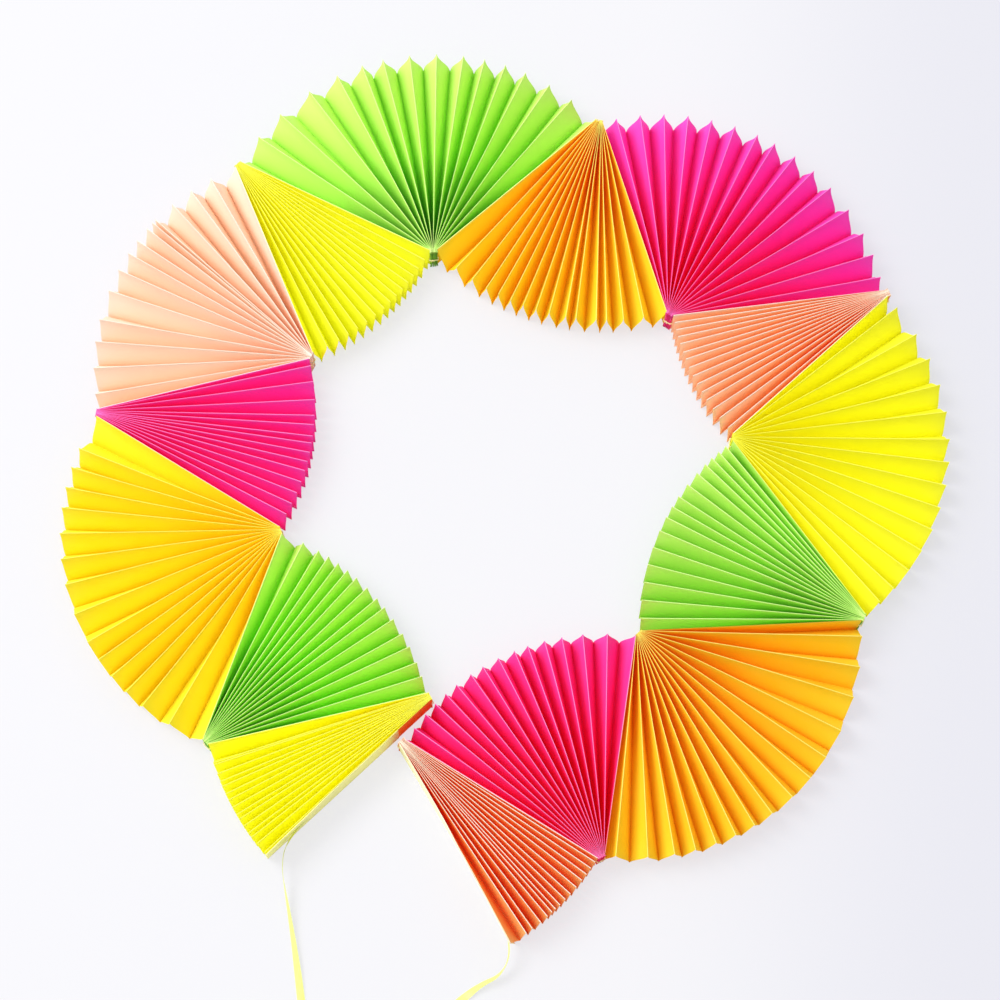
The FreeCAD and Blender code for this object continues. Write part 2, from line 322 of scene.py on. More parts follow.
def ribbon_route(free_face, peel, steps, side):
    """Control points of a ribbon: on its card, off it near the rim, over the table, and round the ring."""
    start, run, facing = free_face
    along = run / abs(run)
    rim = start + run + facing * (2 * glue_gap + card_thickness + ribbon_thickness / 2)
    plan = [rim - along * ribbon_start, rim - along * peel * mm]
    heights = [pleat_depth / 2, pleat_depth / 2]
    for x, y, z in steps:
        plan.append(rim + complex(x, y) * mm)
        heights.append(z * mm)
    ring = ring_points(plan[-2], plan[-1], side)
    heights += [ribbon_width / 2] * len(ring)
    return on_table(np.concatenate([plan, ring]), np.array(heights))


def spline_points(name, controls):
    """Close points along one smooth spline with these control points."""
    curve = bpy.data.curves.new(name, "CURVE")
    curve.dimensions = "3D"
    curve.resolution_u = 12
    spline = curve.splines.new("NURBS")
    spline.points.add(len(controls) - 1)
    spline.points.foreach_set("co", np.append(controls, np.ones((len(controls), 1)), axis=1).ravel())
    spline.order_u = 3
    spline.use_endpoint_u = True
    holder = bpy.data.objects.new(name, curve)
    bpy.context.scene.collection.objects.link(holder)
    bpy.context.view_layer.update()
    mesh = bpy.data.meshes.new_from_object(holder)
    points = np.empty(len(mesh.vertices) * 3)
    mesh.vertices.foreach_get("co", points)
    bpy.data.objects.remove(holder)
    bpy.data.meshes.remove(mesh)
    bpy.data.curves.remove(curve)
    return points.reshape(-1, 3)


print("a ribbon starts", round(ribbon_start / mm), "mm before the rim end of its card")

# %% The flat ribbon
ribbon_length = 500 * mm
ribbon_arch = 0.2 * mm
off_table = 0.05 * mm


def ribbon_piece(name, free_face, peel, steps, side, leans):
    """A flat ribbon along its spline, cut to length. It leans by an angle that changes along it: 0 is on edge.

    Across the ribbon the surface is a shallow arch, 1 - (2u - 1)^2 times a fifth of a millimetre."""
    line = spline_points(name + "_line", ribbon_route(free_face, peel, steps, side))
    lengths = np.concatenate([[0.0], np.cumsum(np.linalg.norm(np.diff(line, axis=0), axis=1))])
    line = line[lengths <= ribbon_length]
    lengths = lengths[lengths <= ribbon_length]
    along = tangents(line[:, None], 0)[:, 0]
    level = unit(np.stack([-along[:, 1], along[:, 0], np.zeros(len(along))], axis=1))
    upright = np.cross(along, level)
    table = np.array(leans, float)
    lean = np.radians(np.interp(lengths, table[:, 0] * mm, table[:, 1]))[:, None]
    wide = upright * np.cos(lean) + level * np.sin(lean)
    thick = np.cross(along, wide)
    lowest = (np.abs(wide[:, 2]) * ribbon_width + np.abs(thick[:, 2]) * ribbon_thickness) / 2 + off_table
    line[:, 2] = np.maximum(line[:, 2], lowest)
    across = np.linspace(0, 1, 7)
    arch = (1 - (2 * across - 1) ** 2) * ribbon_arch
    middle = (
        line[:, None]
        + wide[:, None] * ((across - 0.5) * (ribbon_width - ribbon_thickness))[None, :, None]
        + thick[:, None] * arch[None, :, None]
    )
    flat = np.stack(np.broadcast_arrays(across[None, :] * ribbon_width, lengths[:, None]), axis=-1)
    piece = sheet_piece(name, middle, ribbon_thickness, flat)
    print(name, "is", round(lengths[-1] * 1000), "mm long, tail at", np.round(line[-1], 3))
    return piece, line, lengths[-1]


# %% The two ribbons
# Each ribbon's node, free face, distance from the rim where it comes off, and side of its ring. Then its steps over
# the table from the rim, and its leans in degrees at distances along it. All lengths here are in millimetres.
ribbon_rows = (
    ("ribbon_a", free_faces[0], 38, -1,
     ((15, 8.5, 19), (13.9, -7, 16), (15.6, -19.5, 12), (22, -47, 5), (28.9, -78, 1), (37, -119.5, 0),
      (40.5, -143, 3), (41, -169, 3)),
     ((0, 0), (22, 0), (30, 20), (38, 16), (46, 2), (68, 2), (102, 25), (134, 45), (175, 85), (185, 85),
      (211, 0))),
    ("ribbon_b", free_faces[1], 16, 1,
     ((-4.2, -4, 18), (-5.4, -18, 13), (-13, -29.5, 8), (-27, -36, 3.5), (-42, -48.5, 0), (-58.5, -62.5, 3),
      (-68, -78, 3)),
     ((0, 0), (44, 0), (60, 8), (80, 8), (95, 30), (110, 45), (125, 80), (130, 80), (150, 0))),
)
ribbons = []
for node, free_face, peel, side, steps, leans in ribbon_rows:
    piece, line, length = ribbon_piece(node + "_flat", free_face, peel, steps, side, leans)
    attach(piece, "root")
    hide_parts(node, node + "_coil")
    ribbons.append(piece)

# %% [markdown]
# ## The pleated fans
# A fan could be one flat panel copied round, but real pleats all differ, and each panel twists: it stands upright
# where the stack is tied and leans over at the rim. So the whole sheet is one surface. Its first parameter runs from
# the tied end to the rim, and its second runs across all the pleats. Near the rim a panel is not flat. It stays steep
# beside its two folds and lies flatter between them, which makes the spiky rim.

# %% Steps along and across a sheet
fold_growth = 0.12 * mm
fold_softness = 0.45
tied_swell = 0.22
stack_shares = np.array([0.0, 0.25, 0.5, 0.75])
fan_shares = np.array([
    0, 0.006, 0.014, 0.026, 0.042, 0.065, 0.095, 0.13, 0.18, 0.24, 0.31, 0.39, 0.47, 0.55, 0.63, 0.71, 0.79, 0.86,
    0.92, 0.965, 1.0,
])
panel_shares = np.array([0.02, 0.07, 0.16, 0.28, 0.42, 0.58, 0.72, 0.84, 0.93, 0.98])
outer_shares = np.array([0.0, 0.15, 0.32, 0.5, 0.68, 0.85, 0.97])
all_shares = np.concatenate([np.zeros(len(stack_shares)), fan_shares])[:, None]
print("stations", len(all_shares), "and points across a panel", len(panel_shares) + 3)

# %% The folds of one fan
loose_spots = 13
least_room = 0.64


def loose_leaves(folds, rng):
    """Sideways places of the leaves in a stack that is tighter in some spots than in others.

    The room between two leaves follows a slow random wave, and all of it adds up to the same stack."""
    knots = rng.uniform(0.6, 2.2, loose_spots) ** 2.5
    room = np.interp(np.linspace(0, loose_spots - 1, len(folds) - 1), np.arange(loose_spots), knots)
    room = np.maximum(room / room.mean(), least_room)
    places = np.concatenate([[0.0], np.cumsum(room / room.sum())])
    return (places - 0.5) * (len(folds) - 1) * leaf_pitch


def fold_lines(folds, shut_length, rng):
    """Each fold on the table at each station, as complex places, with its sideways direction.

    A fold runs straight from its place in the stack to its place on the rim."""
    place = bends(folds)
    direction = np.exp(1j * folds)
    rim = place + direction * (open_length - place.real)
    loose = place.real + 1j * loose_leaves(folds, rng)
    shut = -shut_length + stack_shares[:, None] * (shut_length + loose.real) + 1j * loose.imag
    opened = loose + fan_shares[:, None] * (rim - loose)
    lines = np.concatenate([shut, opened])
    sideways = np.broadcast_to(1j * direction, lines.shape).copy()
    sideways[: len(stack_shares)] = 1j
    sideways[len(stack_shares)] = 1j - np.tan(folds / 2)
    return lines, sideways


def fold_levels(folds, outer_up):
    """The height of each fold at each station. A crest sinks towards the rim as its two panels lean apart:
    its height there is the leg of a right triangle with the panel's width as its longest side."""
    up = (np.arange(len(folds)) % 2 == 0) == outer_up
    wide = np.zeros(len(folds))
    wide[1:-1] = open_length * (folds[2:] - folds[:-2]) / 2
    drop = pleat_depth - np.sqrt(pleat_depth ** 2 - wide ** 2)
    return np.where(up, pleat_depth - paper / 2 - drop * all_shares, paper / 2), up


widest = max(laid, key=lambda fan: fan[1][-1] - fan[1][0])
levels, up = fold_levels(*widest[1:3])
print("crests of the widest fan at its rim", round(float(levels[-1][up].min()) / mm, 1), "mm high or more")


# %% The surface of one fan
def fan_surface(folds, outer_up, shut_length, seed):
    """The middle surface of a fan's sheet on a grid, with each point's place on the flat sheet and its marks.

    Between two folds the sideways share is t - a sin(2 pi t) / (2 pi) + b sin(pi t), where t is the share of the
    height, a grows to the rim, and b is a small bow that differs from panel to panel."""
    rng = np.random.default_rng(seed)
    lines, sideways = fold_lines(folds, shut_length, rng)
    levels, up = fold_levels(folds, outer_up)
    half = leaf_pitch / 2 + fold_growth * np.sqrt(all_shares)
    soft = np.where(up, -fold_softness, fold_softness) * half

    pattern = 3 + len(panel_shares)
    columns = pattern * len(folds) - len(panel_shares)
    near = np.repeat(np.arange(len(folds)), pattern)[:columns]
    far = np.minimum(near + 1, len(folds) - 1)
    side = np.tile(np.concatenate([[-1, 0, 1], np.ones(len(panel_shares))]), len(folds))[:columns]
    t = np.tile(np.concatenate([np.zeros(3), panel_shares]), len(folds))[:columns]
    bow = rng.uniform(-0.05, 0.05, len(folds))[near]
    curl = rng.uniform(0.45, 0.75, len(folds))[near]

    a = lines[:, near] + sideways[:, near] * half * side
    b = lines[:, far] - sideways[:, far] * half
    twist = curl * all_shares * np.sin(2 * np.pi * t) / (2 * np.pi)
    across = t - twist + bow * all_shares * np.sin(np.pi * t)
    plan = a + (b - a) * across
    level_a = levels[:, near] + soft[:, near] * np.abs(side)
    level_b = levels[:, far] + soft[:, far]
    height = level_a + (level_b - level_a) * t

    free = paper / 2 if outer_up else pleat_depth - paper / 2
    first_plan = np.repeat(plan[:, :1], len(outer_shares), axis=1)
    first_height = free + (height[:, :1] - free) * outer_shares
    last_plan = np.repeat(plan[:, -1:], len(outer_shares), axis=1)
    last_height = free + (height[:, -1:] - free) * outer_shares[::-1]
    plan = np.concatenate([first_plan, plan, last_plan], axis=1)
    height = np.concatenate([first_height, height, last_height], axis=1)

    tied = 1 - np.concatenate([stack_shares, np.ones(len(fan_shares))])[:, None]
    swell = tied_swell * tied * np.abs(2 * height / pleat_depth - 1) ** 1.5
    plan = plan.real + 1j * plan.imag * (1 + swell)

    flat_across = np.concatenate([outer_shares - 1, near + t, len(folds) - outer_shares[::-1]]) * pleat_depth
    flat_along = np.concatenate([stack_shares * bound_length, bound_length + fan_shares * open_length])
    flat = np.stack(np.broadcast_arrays(flat_across[None, :], flat_along[:, None]), axis=-1)
    on_fold = np.where(side[: len(t)] == 0, 1.0, 0.75) * (t == 0)
    outer = np.zeros(len(outer_shares))
    crest = np.concatenate([outer, on_fold * up[near], outer])
    marks = {"crest": np.broadcast_to(crest, height.shape), "rise": height / pleat_depth}
    return plan, height, flat, marks


def lean_last_pleat(plan, height, folds, facing, reach):
    """Tips the outermost pleat over: reach times share^2 times height, with a small overhang past half of the run."""
    pattern = 3 + len(panel_shares)
    first = len(outer_shares) + pattern * (len(folds) - 2) + 1
    columns = np.zeros(plan.shape[1])
    columns[first:] = 1
    if facing.imag < 0:
        columns = columns[::-1]
    overhang = 1.2 * mm * np.clip((all_shares - 0.4) / 0.2, 0, 1)
    return plan + facing / abs(facing) * (reach * all_shares ** 2 + overhang) * height / pleat_depth * columns


# %% The fifteen fans
# How far the last pleat leans, and how far each stack shows past the rims beside it (these in millimetres).
last_lean = 5.5 * mm
shut_lengths = (1.6, 1.2, 1.1, 1.1, 1.1, 1.3, 3.2, 1.1, 2.2, 3.6, 1.2, 1.6, 1.1, 1.2, 3.0)
fan_pieces = []
for number, (colour, folds, outer_up, turn, shift) in enumerate(laid):
    plan, height, flat, marks = fan_surface(folds, outer_up, shut_lengths[number] * mm, number + 1)
    if number == len(laid) - 1:
        plan = lean_last_pleat(plan, height, folds, free_faces[1][2] / turn, last_lean)
    piece = sheet_piece(f"fan_{number + 1:02d}_sheet", on_table(shift + turn * plan, height), paper, flat, marks)
    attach(piece, "root")
    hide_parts(f"fan_{number + 1:02d}")
    fan_pieces.append((piece, colour))
print("fans", len(fan_pieces), "with", len(piece.data.polygons), "faces each")

# %% [markdown]
# ## The end cards
# A stiff card is glued to the free face of each end fan. A thin box would be too straight: the real card is a little
# wavy, and its rim end stands slightly off. So it is a sheet on a grid, like the paper, with a slow wave and a lean.

# %% End cards
card_wave = 0.12 * mm
card_short = 0.5 * mm


def card_piece(name, free_face, lean, power, begin, seed):
    """A card on a grid: along its run and up its height. It stands off its fan by lean times run^power times height,
    and a slow wave, a sine squared along the run, is added to that."""
    start, run, facing = free_face
    along = np.linspace(begin, 1, 41)[:, None]
    rise = np.linspace(0, 1, 11)[None, :]
    phase = np.random.default_rng(seed).uniform(0, 2 * np.pi)
    wave = card_wave * np.sin(9 * along + phase) ** 2 * rise
    off = glue_gap + card_thickness / 2 + lean * along ** power * rise + wave
    plan = start + run * along + facing * off
    height = rise * (pleat_depth - card_short) + 0 * along
    flat = np.stack(np.broadcast_arrays(abs(run) * along, pleat_depth * rise), axis=-1)
    return sheet_piece(name, on_table(plan, height), card_thickness, flat)


# Each card's name, its lean at the rim, the power of its lean, and the share of the run where it begins.
cards = []
card_shapes = (("end_card_a", 1.8 * mm, 3, 0.2), ("end_card_b", last_lean, 2, -0.012))
for (name, lean, power, begin), free_face in zip(card_shapes, free_faces):
    piece = card_piece(name + "_sheet", free_face, lean, power, begin, len(cards))
    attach(piece, "root")
    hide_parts(name)
    cards.append(piece)
print("cards", [piece.name for piece in cards])

# %% [markdown]
# ## The ties
# A thread goes through the stack and round its tied end. It is two strands twisted together, with a small knot and
# two short tails. A bevelled curve could be one smooth strand, but two strands have to wind round each other. So
# each strand is a round section carried along a line that winds round the thread's own line.

# %% A round section along a line
def tube(line, radius, sides, closed, up=(0, 0, 1)):
    """A round section carried along a line: corners at line + radius (cos a side + sin a top)."""
    if closed:
        along = unit(np.roll(line, -1, axis=0) - np.roll(line, 1, axis=0))
    else:
        along = tangents(line[:, None], 0)[:, 0]
    side = unit(np.cross(along, np.array(up, float)))
    top = np.cross(side, along)
    angle = np.linspace(0, 2 * np.pi, sides, endpoint=False)
    ring = side[:, None] * np.cos(angle)[None, :, None] + top[:, None] * np.sin(angle)[None, :, None]
    corners = (line[:, None] + ring * np.broadcast_to(radius, len(line))[:, None, None]).reshape(-1, 3)
    grid = np.arange(len(corners)).reshape(len(line), sides)
    grid = np.concatenate([grid, grid[:, :1]], axis=1)
    if closed:
        grid = np.concatenate([grid, grid[:1]])
    quads = np.stack([grid[:-1, :-1], grid[:-1, 1:], grid[1:, 1:], grid[1:, :-1]], axis=-1).reshape(-1, 4)
    return corners, quads[:, ::-1]


# %% The thread's own line
eyelet_inset = 1.9 * mm
half_stack = 16 * leaf_pitch + paper / 2
thread_radius = 0.6 * mm
knot_radius = 0.9 * mm
thread_slack = 0.06 * mm
thread_corner = 0.8 * mm


def loop_line(count, shut_length):
    """The thread's own line in the fan's frame: straight runs with round corners through the stack and round it."""
    left = -shut_length - thread_slack - knot_radius
    right = min(eyelet_inset - shut_length, -0.3 * mm)
    wide = half_stack + thread_slack + thread_radius
    spots = []
    for x, y, start in ((right, wide, 0), (left, wide, 90), (left, -wide, 180), (right, -wide, 270)):
        inset_x = math.copysign(thread_corner, x - (left + right) / 2)
        middle = complex(x - inset_x, y - math.copysign(thread_corner, y))
        spots.append(middle + thread_corner * np.exp(1j * np.radians(start + np.linspace(0, 90, 7))))
    spots = np.concatenate(spots)
    spots = np.append(spots, spots[0])
    lengths = np.concatenate([[0.0], np.cumsum(np.abs(np.diff(spots)))])
    at = np.linspace(0, lengths[-1], count, endpoint=False)
    return np.interp(at, lengths, spots.real) + 1j * np.interp(at, lengths, spots.imag), lengths[-1]


print("thread round the first stack", round(loop_line(4, shut_lengths[0] * mm)[1] / mm, 1), "mm")

# %% The strands, the knot and the tails
knot_offset = 1.2 * mm
strand_radius = 0.33 * mm
strand_offset = 0.27 * mm
strand_lay = 2.6 * mm
tail_radius = 0.36 * mm
thread_points = 140


def tie_parts(shut_length):
    """The strands, the knot and the tails of one tie, in the fan's own frame, as (corners, faces) pairs."""
    plan, length = loop_line(thread_points, shut_length)
    heading_out = np.roll(plan, -1) - np.roll(plan, 1)
    outward = -1j * heading_out / np.abs(heading_out)
    twist = np.linspace(0, 2 * np.pi * round(length / strand_lay), thread_points, endpoint=False)
    parts = []
    for phase in (0, np.pi):
        winding = plan + outward * strand_offset * np.cos(twist + phase)
        line = on_table(winding, pleat_depth / 2 + strand_offset * np.sin(twist + phase))
        parts.append(tube(line, strand_radius, 8, True))
    a = np.linspace(0, 2 * np.pi, 72, endpoint=False)
    knot = np.stack([
        -shut_length - thread_slack - knot_radius + strand_offset * 0.8 * np.sin(3 * a),
        knot_offset + strand_offset * (np.sin(a) + 2 * np.sin(2 * a)),
        pleat_depth / 2 + strand_offset * (np.cos(a) - 2 * np.cos(2 * a)),
    ], axis=1)
    parts.append(tube(knot, tail_radius, 8, True, up=(1, 0, 0.2)))
    s = np.linspace(0, 1, 9)
    for lean in (-1.0, 1.0):
        tail = np.stack([
            -shut_length - 0.9 * mm - 0.8 * mm * s * (1 - s) * 2,
            knot_offset + lean * (0.3 + 1.2 * s) * mm,
            pleat_depth / 2 - (0.2 + 3.6 * s ** 1.3) * mm,
        ], axis=1)
        radius = np.concatenate([[0.02 * mm], np.full(7, tail_radius), [0.02 * mm]])
        parts.append(tube(tail, radius, 8, False, up=(1, 0, 0)))
    return parts


def join_parts(parts):
    """Several (corners, faces) pairs as one."""
    starts = np.cumsum([0] + [len(corners) for corners, quads in parts[:-1]])
    return (
        np.concatenate([corners for corners, quads in parts]),
        np.concatenate([quads + start for (corners, quads), start in zip(parts, starts)]),
    )


# %% The fifteen ties
ties = []
for number, (colour, folds, outer_up, turn, shift) in enumerate(laid):
    tie_corners, tie_quads = join_parts(tie_parts(shut_lengths[number] * mm))
    plan = shift + turn * (tie_corners[:, 0] + 1j * tie_corners[:, 1])
    piece = new_piece(f"tie_{number + 1:02d}_thread", on_table(plan, tie_corners[:, 2]), tie_quads)
    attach(piece, "root")
    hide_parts(f"tie_{number + 1:02d}")
    ties.append(piece)
print("ties", len(ties), "with", len(tie_quads), "faces each")

# %% [markdown]
# ## Helpers for the finishes
# Every finish here is a few nodes in a row, and each node needs several sockets set and joined. That could be written
# out each time. These helpers say it in one line: a number that goes from one value to another, a product, a mix of
# two colours, and the matt sheet that lets some light through, which all of the banner's parts share.

# %% Node helpers
def feed(tree, socket, value):
    """Joins a socket to another node's output, or sets it to a plain value."""
    if isinstance(value, bpy.types.NodeSocket):
        tree.links.new(value, socket)
    else:
        socket.default_value = value


def new_finish(name):
    """A material with its nodes cleared but for the output, and a short way to add and join nodes."""
    material = bpy.data.materials.new(name)
    material.use_nodes = True
    tree = material.node_tree
    tree.nodes.clear()
    output = tree.nodes.new("ShaderNodeOutputMaterial")

    def add(kind, **settings):
        """A new shader node, with values or sockets for its inputs and plain values for its settings."""
        node = tree.nodes.new("ShaderNode" + kind)
        for key, value in settings.items():
            if key in node.inputs:
                feed(tree, node.inputs[key], value)
            else:
                setattr(node, key, value)
        return node

    return material, tree, output, add


# %% Numbers and colours in a finish
def span(add, value, start, end, low=0.0, high=1.0):
    """A number that goes from low to high as value goes from start to end, and stays there beyond them."""
    limits = {"From Min": start, "From Max": end, "To Min": low, "To Max": high}
    return add("MapRange", Value=value, **limits)


def product(tree, add, one, two):
    """Two numbers multiplied."""
    node = add("Math", operation="MULTIPLY")
    feed(tree, node.inputs[0], one)
    feed(tree, node.inputs[1], two)
    return node.outputs[0]


def mix_colour(tree, add, factor, one, two):
    """A colour between two, where each is a plain colour or a socket."""
    node = add("Mix", data_type="RGBA")
    for socket, value in ((node.inputs[0], factor), (node.inputs[6], one), (node.inputs[7], two)):
        feed(tree, socket, value)
    return node.outputs[2]


# %% The matt sheet
def thin_sheet(tree, output, add, face, rough, bump, through, specular=0.5):
    """A matt sheet that sends a share of its light through to the other side."""
    shader = add("BsdfPrincipled", Roughness=rough, Normal=bump)
    shader.inputs["Specular IOR Level"].default_value = specular
    tree.links.new(face, shader.inputs["Base Color"])
    glow = add("BsdfTranslucent", Color=face, Normal=bump)
    both = add("MixShader", Fac=through)
    tree.links.new(shader.outputs[0], both.inputs[1])
    tree.links.new(glow.outputs[0], both.inputs[2])
    tree.links.new(both.outputs[0], output.inputs["Surface"])


# %% [markdown]
# ## The paper
# The fan paper is dyed through, with a soft matt face, fine fibres and a slight mottle. A fold breaks the fibres, so
# the crest of a pleat is a little paler, and a painted highlight makes the crest and the top of each panel paler
# still.
# Down between two panels a painted shade makes the colour deeper and redder, and painted light and shade make the
# paper deeper near the tie and paler at the rim. One plain colour for each fan would look like plastic. A picture of
# paper could be laid on it, but it would show its edges in other views. So every change of colour is worked out on the
# flat sheet itself, from the place between tie and rim, from the height in the fold, and from the marks that its mesh
# carries along the crests.
# The free panel of the first fan lies next to a pink fan, and where the card doesn't cover it, a red reflection of the
# pink fan is painted on it.

# %% Paper
# The colour of a painted red reflection of the pink fan on the first fan's free panel.
painted_reflection_colour = (1.0, 0.24, 0.03, 1)
fibre_scale = 1300.0
mottle_scale = 32.0
paper_through = 0.1
paper_gloss = 0.3


def paper_finish(name, near, far, pale, deep, tie_fold_shade, rim_fold_shade, painted_reflection_from=None):
    """Dyed paper: near the tie one shade and at the rim another, as painted light and shade, with a mottle at 30 mm
    and fibres under 1 mm.

    It is paler on the crests, partly from worn fibres and partly from a painted highlight, and a painted highlight
    pales the top of each panel beside them. A painted shade takes it to its deep colour down in the folds, by one
    share where the sheet is tied and another at the rim. The last argument is where a painted red reflection of the
    pink fan begins across the sheet."""
    material, tree, output, add = new_finish(name)
    place = add("UVMap", uv_map="sheet").outputs["UV"]
    parts = add("SeparateXYZ", Vector=place)
    across, out = parts.outputs["X"], parts.outputs["Y"]
    rise = add("Attribute", attribute_name="rise").outputs["Fac"]
    crest = add("Attribute", attribute_name="crest").outputs["Fac"]

    # Painted light and shade: a deeper shade near the tie, where the pleats close up, and a lighter one at the rim.
    to_rim = span(add, out, 0.06, 0.19)
    to_rim.interpolation_type = "SMOOTHSTEP"
    face = mix_colour(tree, add, to_rim.outputs[0], (*near, 1), (*far, 1))

    stretched = add("Mapping", Vector=place, Scale=(1.0, 0.45, 1.0)).outputs[0]
    fibres = add("TexNoise", Vector=stretched, Scale=fibre_scale, Detail=4.0, Roughness=0.6).outputs["Fac"]
    mottle = add("TexNoise", Vector=place, Scale=mottle_scale, Detail=3.0, Roughness=0.5).outputs["Fac"]
    face = mix_colour(tree, add, span(add, fibres, 0.25, 0.75, high=0.1).outputs[0], face, (*pale, 1))
    face = mix_colour(tree, add, span(add, mottle, 0.3, 0.7, high=0.06).outputs[0], face, (*pale, 1))

    # A painted shade: down between two panels the paper goes to its deep colour, more near the tie than at the rim.
    deepest = span(add, out, 0.01, 0.12, 0.88, 0.4).outputs[0]
    down = span(add, rise, 0.965, deepest).outputs[0]
    fold_shade_share = span(add, out, 0.01, 0.11, tie_fold_shade, rim_fold_shade).outputs[0]
    face = mix_colour(tree, add, product(tree, add, down, fold_shade_share), face, (*deep, 1))

    # A painted highlight: the top tenth of each panel below a crest is paler, more so away from the tie.
    top_highlight_share = span(add, out, 0.02, 0.1, high=0.1 + 0.7 * tie_fold_shade).outputs[0]
    painted_top_highlight = span(add, rise, 0.9, 1.0, high=top_highlight_share).outputs[0]
    face = mix_colour(tree, add, painted_top_highlight, face, (*pale, 1))
    # The crest mark pales each fold: partly worn fibres and partly a painted highlight.
    face = mix_colour(tree, add, product(tree, add, crest, 0.35 + 0.45 * tie_fold_shade), face, (*pale, 1))
    # A painted reflection of the pink fan: red on the free panel beyond the card, fading out towards the rim.
    if painted_reflection_from is not None:
        side = span(add, across, painted_reflection_from, painted_reflection_from + 4 * mm, high=0.8).outputs[0]
        near_tie = span(add, out, 0.13, 0.04).outputs[0]
        face = mix_colour(tree, add, product(tree, add, side, near_tie), face, painted_reflection_colour)

    rough = span(add, fibres, 0.0, 1.0, 0.62, 0.86).outputs[0]
    bump = add("Bump", Height=fibres, Strength=0.25, Distance=0.00006).outputs[0]
    thin_sheet(tree, output, add, face, rough, bump, paper_through, paper_gloss)
    return material


# %% [markdown]
# ## The dyes
# The banner repeats five bright papers in the same order: yellow, green, gold, pink and peach. One finish for each
# paper would do, but two fans of one paper never look quite the same, because they open and catch the light in
# different ways. So each fan has a finish of its own, with that light and shade painted in: two shades of its dye,
# and its own share of the painted deep colour in the folds.

# %% Dyes and the papers of the fifteen fans
# Deep and light shades of each dye, between which painted light and shade set each fan's colour; the pale colour of
# its fibres and crests, where a crest is partly worn and partly a painted highlight; and the painted shade far down
# between two panels.
dyes = {
    "yellow": ((0.995, 0.965, 0.010), (0.99, 0.980, 0.022), (1.0, 0.99, 0.20), (0.88, 0.73, 0.0)),
    "green": ((0.50, 0.93, 0.050), (0.69, 0.97, 0.18), (0.81, 1.0, 0.38), (0.05, 0.42, 0.0)),
    "gold": ((1.0, 0.66, 0.004), (1.0, 0.88, 0.008), (1.0, 0.94, 0.26), (0.90, 0.34, 0.0)),
    "pink": ((0.98, 0.012, 0.26), (0.99, 0.05, 0.54), (0.99, 0.34, 0.72), (0.90, 0.0, 0.07)),
    "peach": ((0.99, 0.52, 0.125), (0.99, 0.79, 0.62), (1.0, 0.90, 0.82), (0.88, 0.20, 0.03)),
}
# One row a fan: its shade of the dye near the tie and at the rim, from 0 for deep to 1 for light, set by painted light
# and shade, and its share of the painted shade far down, near the tie and at the rim.
paper_looks = (
    (0.5, 0.8, 0.35, 0.02),
    (0.25, 1.1, 0.75, 0.08),
    (0.95, 0.95, 0.15, 0.02),
    (0.75, 1.05, 0.45, 0.06),
    (1.15, 1.05, 0.2, 0.05),
    (0.9, 1.9, 0.2, 0.03),
    (0.75, 1.15, 0.7, 0.1),
    (0.3, 0.55, 0.6, 0.08),
    (0.4, 1.2, 0.35, 0.05),
    (0.3, 0.75, 0.85, 0.05),
    (0.4, 0.9, 0.2, 0.03),
    (0.5, 1.2, 0.8, 0.25),
    (0.15, 0.25, 0.65, 0.08),
    (-0.3, 0.5, 0.6, 0.08),
    (-0.15, 0.0, 1.0, 0.25),
)


def dye_lit_shade(colour, shade):
    """A dye between its deep and its light shade, as plain numbers: the painted light and shade of one fan."""
    deep, light = (np.array(values) for values in dyes[colour][:2])
    return tuple(np.clip(deep + (light - deep) * shade, 0, 1).tolist())


papers = []
# Painted light and shade: each fan's colour is set lighter or deeper by how much light it catches, near its tie and at
# its rim.
for (piece, colour), (shade, rim_shade, tie_fold_shade, rim_fold_shade) in zip(fan_pieces, paper_looks):
    name = f"{colour}_paper_{len(papers) + 1:02d}"
    near, far = dye_lit_shade(colour, shade), dye_lit_shade(colour, rim_shade)
    # The first fan's free panel gets a painted red reflection of the pink fan.
    painted_reflection_start = None if papers else (len(laid[0][1]) - 1) * pleat_depth
    papers.append(paper_finish(name, near, far, *dyes[colour][2:], tie_fold_shade, rim_fold_shade, painted_reflection_start))
    piece.data.materials.append(papers[-1])
print("papers", len(papers))


# %% [markdown]
# ## Card, ribbon and thread
# The card is stiff and pale yellow, the ribbon has a faint sheen and shows the weave that runs along it, and the
# thread is matt cotton. Each could have a finish of its own, but they differ only in colour, grain and gloss. So one
# function makes all of them. The grain follows the flat sheet, and on the thread, which has no flat sheet, its place.

# %% Card, ribbon and thread
def plain_finish(name, colour, pale, roughness, scale, bump_distance, through, stretch=(1, 1, 1)):
    """A fine-grained finish on the sheet's own map, or on the object's place where there is no map."""
    material, tree, output, add = new_finish(name)
    if name == "thread":
        place = add("TexCoord").outputs["Object"]
    else:
        place = add("UVMap", uv_map="sheet").outputs["UV"]
    stretched = add("Mapping", Vector=place, Scale=stretch).outputs[0]
    grain = add("TexNoise", Vector=stretched, Scale=scale, Detail=4.0, Roughness=0.6).outputs["Fac"]
    face = mix_colour(tree, add, span(add, grain, 0.3, 0.7).outputs[0], (*colour, 1), (*pale, 1))
    rough = span(add, grain, 0.0, 1.0, roughness - 0.1, roughness + 0.1).outputs[0]
    bump = add("Bump", Height=grain, Strength=0.3, Distance=bump_distance).outputs[0]
    thin_sheet(tree, output, add, face, rough, bump, through)
    return material


